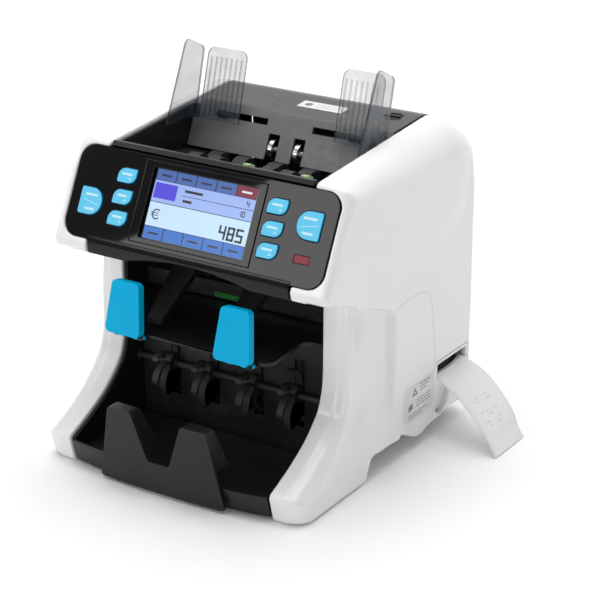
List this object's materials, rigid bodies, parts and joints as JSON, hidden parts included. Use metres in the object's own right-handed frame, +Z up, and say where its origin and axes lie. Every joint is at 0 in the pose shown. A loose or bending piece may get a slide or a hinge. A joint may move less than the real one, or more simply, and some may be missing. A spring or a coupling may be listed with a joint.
{
  "type": "banknote counting machine",
  "caption": "Two-pocket banknote counter: top hopper with sliding guides, tilted keypad with screen, sprung reject stops, lower stacker tray and receipt printer.",
  "frame": {"origin": "on the table, midway between the two side covers, under the middle of the housing", "axes": "+X to the right as seen from the front, the front faces -Y, +Z up"},
  "size_m": [0.3282, 0.2871, 0.323],
  "materials": {
    "white_shell": "gloss",
    "black_steel": "satin black coat",
    "base_steel": "satin",
    "rubber_foot": "matte",
    "dark_grey_shell": "fine texture",
    "black_plastic": "satin",
    "grey_plate": "fine texture",
    "gloss_black": "high gloss",
    "screen": "lit screen",
    "red_window": "gloss",
    "circuit_board": "solder mask",
    "blue_key": "satin",
    "blue_stop": "satin",
    "smoke_clear": "smoke tint, clear",
    "dark_nylon": "satin",
    "pale_gear": "satin",
    "black_rubber": "matte",
    "bright_metal": "polished",
    "bronze": "sintered",
    "motor_steel": "satin",
    "knob_black": "satin",
    "printer_grey": "satin",
    "paper": "smooth thermal paper"
  },
  "bodies": {
    "chassis": {"side_cover_left": "white_shell", "side_cover_right": "white_shell", "side_frame_left": "black_steel", "side_frame_right": "black_steel", "base_pan": "base_steel", "feet": "rubber_foot", "top_cover": "dark_grey_shell", "rear_panel": "dark_grey_shell", "hopper_tray": "black_plastic", "hopper_back_plate": "grey_plate", "head_lower_cover": "black_plastic", "panel_housing": "black_plastic", "panel_fascia": "gloss_black", "display_screen": "screen", "indicator_window": "red_window", "control_board": "circuit_board", "bushes": "bronze", "drive_belts": "black_rubber", "drive_motor": "motor_steel", "sensor_bars": "black_plastic", "reject_shelf": "black_plastic", "pocket_walls": "black_steel", "stacker_tray": "black_plastic", "power_supply": "motor_steel", "main_board": "circuit_board"},
    "left_guide": {"guide_left": "smoke_clear"},
    "right_guide": {"guide_right": "smoke_clear"},
    "guide_gear": {"guide_pinion": "dark_nylon"},
    "pickup": {"pickup_rollers": "black_rubber", "pickup_gears": "pale_gear"},
    "retard": {"retard_rollers": "bright_metal"},
    "feed": {"feed_rollers": "black_rubber"},
    "upper_drive": {"upper_drive_rollers": "black_rubber"},
    "lower_drive": {"lower_drive_rollers": "black_rubber"},
    "pinch": {"pinch_rollers": "bright_metal"},
    "exit": {"exit_rollers": "black_rubber"},
    "stacker": {"stacker_wheels": "black_rubber"},
    "motor": {"motor_pulley": "bronze"},
    "flap": {"diverter": "black_plastic"},
    "stop_left": {"reject_stop_left": "blue_stop"},
    "stop_right": {"reject_stop_right": "blue_stop"},
    "arm_left": {"hold_down_arm_left": "black_plastic"},
    "arm_right": {"hold_down_arm_right": "black_plastic"},
    "tray_stop": {"front_stop": "black_plastic"},
    "printer": {"printer_front": "white_shell", "printer_tray": "printer_grey", "paper_strip": "paper"},
    "roll": {"paper_roll": "paper"},
    "platen": {"platen_roller": "black_rubber"},
    "rocker": {"power_switch": "knob_black"},
    "door": {"rear_door": "dark_grey_shell"},
    "knob": {"gap_knob": "knob_black"},
    "start_stop_button_body": {"start_stop_button": "blue_key"},
    "back_button_body": {"back_button": "blue_key"},
    "left_key_1_body": {"left_key_1": "blue_key"},
    "left_key_2_body": {"left_key_2": "blue_key"},
    "left_key_3_body": {"left_key_3": "blue_key"},
    "right_key_1_body": {"right_key_1": "blue_key"},
    "right_key_2_body": {"right_key_2": "blue_key"},
    "right_key_3_body": {"right_key_3": "blue_key"}
  },
  "joints": [
    {"name": "feed_spin", "type": "hinge", "parent": "chassis", "child": "feed", "pos_m": [0, 0.026, 0.218], "axis": [1, 0, 0], "continuous": true},
    {"name": "pickup_spin", "type": "hinge", "parent": "chassis", "child": "pickup", "pos_m": [0, -0.004, 0.229], "axis": [1, 0, 0], "continuous": true},
    {"name": "upper_drive_spin", "type": "hinge", "parent": "chassis", "child": "upper_drive", "pos_m": [0, 0.07, 0.196], "axis": [1, 0, 0], "continuous": true},
    {"name": "lower_drive_spin", "type": "hinge", "parent": "chassis", "child": "lower_drive", "pos_m": [0, 0.06, 0.128], "axis": [1, 0, 0], "continuous": true},
    {"name": "exit_spin", "type": "hinge", "parent": "chassis", "child": "exit", "pos_m": [0, -0.008, 0.148], "axis": [1, 0, 0], "continuous": true},
    {"name": "stacker_spin", "type": "hinge", "parent": "chassis", "child": "stacker", "pos_m": [0, -0.038, 0.064], "axis": [1, 0, 0], "continuous": true},
    {"name": "motor_spin", "type": "hinge", "parent": "chassis", "child": "motor", "pos_m": [0, 0.1, 0.11], "axis": [1, 0, 0], "continuous": true},
    {"name": "pinch_spin", "type": "hinge", "parent": "chassis", "child": "pinch", "pos_m": [0, 0.0882, 0.196], "axis": [1, 0, 0], "continuous": true},
    {"name": "retard_spin", "type": "hinge", "parent": "chassis", "child": "retard", "pos_m": [0, 0.044, 0.238], "axis": [1, 0, 0], "continuous": true},
    {"name": "guide_right_slide", "type": "slide", "parent": "chassis", "child": "right_guide", "axis": [-1, 0, 0], "range_m": [0, 0.03456]},
    {"name": "guide_left_slide", "type": "slide", "parent": "chassis", "child": "left_guide", "axis": [1, 0, 0], "range_m": [0, 0.03456]},
    {"name": "guide_pinion_spin", "type": "hinge", "parent": "chassis", "child": "guide_gear", "pos_m": [0, 0.064, 0.253], "axis": [0, 1, 0], "range_deg": [-247.51, 0]},
    {"name": "diverter_turn", "type": "hinge", "parent": "chassis", "child": "flap", "pos_m": [0, 0.034, 0.112], "axis": [1, 0, 0], "range_deg": [0, 22], "stiffness_Nm_per_rad": 0.05, "springref_deg": -17.19},
    {"name": "reject_stop_left_turn", "type": "hinge", "parent": "chassis", "child": "stop_left", "pos_m": [-0.0526, -0.108, 0.1165], "axis": [1, 0, 0], "range_deg": [0, 70], "stiffness_Nm_per_rad": 0.03, "springref_deg": -20.05},
    {"name": "reject_stop_right_turn", "type": "hinge", "parent": "chassis", "child": "stop_right", "pos_m": [0.0526, -0.108, 0.1165], "axis": [1, 0, 0], "range_deg": [0, 70], "stiffness_Nm_per_rad": 0.03, "springref_deg": -20.05},
    {"name": "hold_down_arm_left_turn", "type": "hinge", "parent": "chassis", "child": "arm_left", "pos_m": [-0.036, -0.04, 0.17], "axis": [-1, 0, 0], "range_deg": [0, 12]},
    {"name": "hold_down_arm_right_turn", "type": "hinge", "parent": "chassis", "child": "arm_right", "pos_m": [0.036, -0.04, 0.17], "axis": [-1, 0, 0], "range_deg": [0, 12]},
    {"name": "front_stop_slide", "type": "slide", "parent": "chassis", "child": "tray_stop", "axis": [0, -1, 0], "range_m": [0, 0.014]},
    {"name": "printer_slide", "type": "slide", "parent": "chassis", "child": "printer", "axis": [1, 0, 0], "range_m": [0, 0.05]},
    {"name": "paper_roll_spin", "type": "hinge", "parent": "printer", "child": "roll", "pos_m": [0.086, 0.1005, 0.038], "axis": [0, 1, 0], "continuous": true},
    {"name": "platen_spin", "type": "hinge", "parent": "printer", "child": "platen", "pos_m": [0.117, 0.1005, 0.0505], "axis": [0, 1, 0], "continuous": true},
    {"name": "power_switch_rock", "type": "hinge", "parent": "chassis", "child": "rocker", "pos_m": [-0.026, 0.129, 0.044], "axis": [1, 0, 0], "range_deg": [0, 11]},
    {"name": "rear_door_turn", "type": "hinge", "parent": "chassis", "child": "door", "pos_m": [0, 0.1352, 0.0805], "axis": [-1, 0, 0], "range_deg": [0, 95]},
    {"name": "gap_knob_turn", "type": "hinge", "parent": "chassis", "child": "knob", "pos_m": [0.076, 0.086, 0.26], "axis": [0, 0, 1], "range_deg": [-150, 150]},
    {"name": "start_stop_button_press", "type": "slide", "parent": "chassis", "child": "start_stop_button_body", "axis": [0, 0.8949, -0.4462], "range_m": [0, 0.0012], "stiffness_N_per_m": 400, "springref_m": -0.002},
    {"name": "back_button_press", "type": "slide", "parent": "chassis", "child": "back_button_body", "axis": [0, 0.8949, -0.4462], "range_m": [0, 0.0012], "stiffness_N_per_m": 400, "springref_m": -0.002},
    {"name": "left_key_1_press", "type": "slide", "parent": "chassis", "child": "left_key_1_body", "axis": [0, 0.8949, -0.4462], "range_m": [0, 0.0012], "stiffness_N_per_m": 400, "springref_m": -0.002},
    {"name": "left_key_2_press", "type": "slide", "parent": "chassis", "child": "left_key_2_body", "axis": [0, 0.8949, -0.4462], "range_m": [0, 0.0012], "stiffness_N_per_m": 400, "springref_m": -0.002},
    {"name": "left_key_3_press", "type": "slide", "parent": "chassis", "child": "left_key_3_body", "axis": [0, 0.8949, -0.4462], "range_m": [0, 0.0012], "stiffness_N_per_m": 400, "springref_m": -0.002},
    {"name": "right_key_1_press", "type": "slide", "parent": "chassis", "child": "right_key_1_body", "axis": [0, 0.8949, -0.4462], "range_m": [0, 0.0012], "stiffness_N_per_m": 400, "springref_m": -0.002},
    {"name": "right_key_2_press", "type": "slide", "parent": "chassis", "child": "right_key_2_body", "axis": [0, 0.8949, -0.4462], "range_m": [0, 0.0012], "stiffness_N_per_m": 400, "springref_m": -0.002},
    {"name": "right_key_3_press", "type": "slide", "parent": "chassis", "child": "right_key_3_body", "axis": [0, 0.8949, -0.4462], "range_m": [0, 0.0012], "stiffness_N_per_m": 400, "springref_m": -0.002}
  ],
  "couplings": [
    {"joint": "pickup_spin", "follows": "feed_spin", "ratio": 1},
    {"joint": "upper_drive_spin", "follows": "feed_spin", "ratio": 1},
    {"joint": "lower_drive_spin", "follows": "feed_spin", "ratio": 1},
    {"joint": "exit_spin", "follows": "feed_spin", "ratio": 1},
    {"joint": "stacker_spin", "follows": "feed_spin", "ratio": 1},
    {"joint": "motor_spin", "follows": "feed_spin", "ratio": 1},
    {"joint": "pinch_spin", "follows": "feed_spin", "ratio": -1.5714},
    {"joint": "retard_spin", "follows": "feed_spin", "ratio": -1.6667},
    {"joint": "guide_left_slide", "follows": "guide_right_slide", "ratio": 1},
    {"joint": "guide_pinion_spin", "follows": "guide_right_slide", "rad_per_m": -125},
    {"joint": "platen_spin", "follows": "paper_roll_spin", "ratio": 4}
  ]
}
